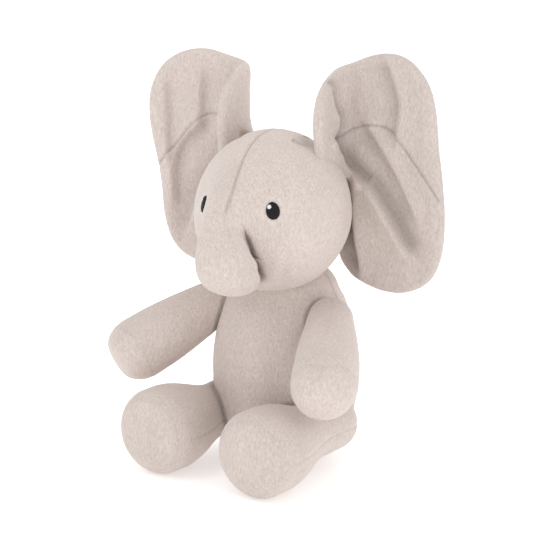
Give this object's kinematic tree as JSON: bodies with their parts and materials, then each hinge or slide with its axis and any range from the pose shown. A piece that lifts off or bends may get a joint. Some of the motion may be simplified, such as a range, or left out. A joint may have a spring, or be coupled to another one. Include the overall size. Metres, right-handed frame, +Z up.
{
  "type": "stuffed elephant",
  "caption": "Seated plush elephant with large raised ears, a short curled trunk, stitched oval eyes and soft limbs that bend at their seams.",
  "frame": {"origin": "centre of the flat seat panel under the body, on the surface that the elephant sits on", "axes": "+Z up, -Y the way the elephant faces, +X towards its left side"},
  "size_m": [0.2404, 0.1934, 0.2997],
  "materials": {
    "plush": "short pile plush, pinkish beige grey",
    "plush_centre_panel": "short pile plush, pinkish beige grey, on the centre panel of the face",
    "plush_pads": "short pile plush, pinkish beige grey, on the soles and paw ends",
    "stuffing": "white polyester fibre filling",
    "pouch_cloth": "plain woven lining cloth",
    "pellets": "loose plastic pellets",
    "eye_black_thread": "glossy black satin-stitch thread",
    "eye_white_thread": "white satin-stitch thread"
  },
  "bodies": {
    "body": {"body_front": "plush", "body_back_left": "plush", "body_back_right": "plush", "body_base": "plush", "body_stuffing": "stuffing", "pellet_pouch": "pouch_cloth", "pellets": "pellets"},
    "neck": {"neck_stuffing": "stuffing"},
    "head": {"head_left": "plush", "head_right": "plush", "head_stuffing": "stuffing", "eye_left": "eye_black_thread", "eye_right": "eye_black_thread", "eye_glint_left": "eye_white_thread", "eye_glint_right": "eye_white_thread"},
    "trunk": {"trunk_top": "plush_centre_panel", "trunk_left": "plush", "trunk_right": "plush", "trunk_under": "plush", "trunk_stuffing": "stuffing"},
    "ear_left": {"ear_left_front_upper": "plush", "ear_left_front_lower": "plush", "ear_left_back": "plush", "ear_left_wadding": "stuffing"},
    "ear_right": {"ear_right_front_upper": "plush", "ear_right_front_lower": "plush", "ear_right_back": "plush", "ear_right_wadding": "stuffing"},
    "arm_left": {"arm_left_outer": "plush", "arm_left_inner": "plush", "arm_left_paw": "plush_pads", "arm_left_stuffing": "stuffing"},
    "arm_right": {"arm_right_outer": "plush", "arm_right_inner": "plush", "arm_right_paw": "plush_pads", "arm_right_stuffing": "stuffing"},
    "leg_left": {"leg_left_upper": "plush", "leg_left_lower": "plush", "leg_left_sole": "plush_pads", "leg_left_stuffing": "stuffing"},
    "leg_right": {"leg_right_upper": "plush", "leg_right_lower": "plush", "leg_right_sole": "plush_pads", "leg_right_stuffing": "stuffing"},
    "tail": {"tail_skin": "plush", "tail_stuffing": "stuffing"}
  },
  "joints": [
    {"name": "neck_turn", "type": "hinge", "parent": "body", "child": "neck", "pos_m": [0, 0, 0.128], "axis": [0, 0, 1], "range_deg": [-29, 11], "stiffness_Nm_per_rad": 1.2},
    {"name": "head_nod", "type": "hinge", "parent": "neck", "child": "head", "pos_m": [0, 0, 0.128], "axis": [0.9877, 0.1564, 0], "range_deg": [-12, 12], "stiffness_Nm_per_rad": 2},
    {"name": "trunk_lift", "type": "hinge", "parent": "head", "child": "trunk", "pos_m": [0.01001, -0.06321, 0.1805], "axis": [-0.9877, -0.1564, 0], "range_deg": [-8, 30], "stiffness_Nm_per_rad": 0.4},
    {"name": "ear_left_fold", "type": "hinge", "parent": "head", "child": "ear_left", "pos_m": [0.0432, -0.00429, 0.224], "axis": [0.1564, -0.9877, 0], "range_deg": [-6, 13], "stiffness_Nm_per_rad": 0.35},
    {"name": "ear_right_fold", "type": "hinge", "parent": "head", "child": "ear_right", "pos_m": [-0.03976, -0.01743, 0.224], "axis": [-0.1564, 0.9877, 0], "range_deg": [-6, 13], "stiffness_Nm_per_rad": 0.35},
    {"name": "arm_left_raise", "type": "hinge", "parent": "body", "child": "arm_left", "pos_m": [0.0515, -0.016, 0.112], "axis": [-0.866, -0.5, 0], "range_deg": [-4, 32], "stiffness_Nm_per_rad": 0.35},
    {"name": "arm_right_raise", "type": "hinge", "parent": "body", "child": "arm_right", "pos_m": [-0.0515, -0.016, 0.112], "axis": [-0.866, 0.5, 0], "range_deg": [-4, 32], "stiffness_Nm_per_rad": 0.35},
    {"name": "leg_left_raise", "type": "hinge", "parent": "body", "child": "leg_left", "pos_m": [0.045, -0.005, 0.0315], "axis": [-1, 0, 0], "range_deg": [-40, 7], "stiffness_Nm_per_rad": 0.6},
    {"name": "leg_right_raise", "type": "hinge", "parent": "body", "child": "leg_right", "pos_m": [-0.045, -0.005, 0.0315], "axis": [-1, 0, 0], "range_deg": [-40, 7], "stiffness_Nm_per_rad": 0.6},
    {"name": "tail_raise", "type": "hinge", "parent": "body", "child": "tail", "pos_m": [0, 0.05939, 0.042], "axis": [1, 0, 0], "range_deg": [-15, 60], "stiffness_Nm_per_rad": 0.03}
  ]
}
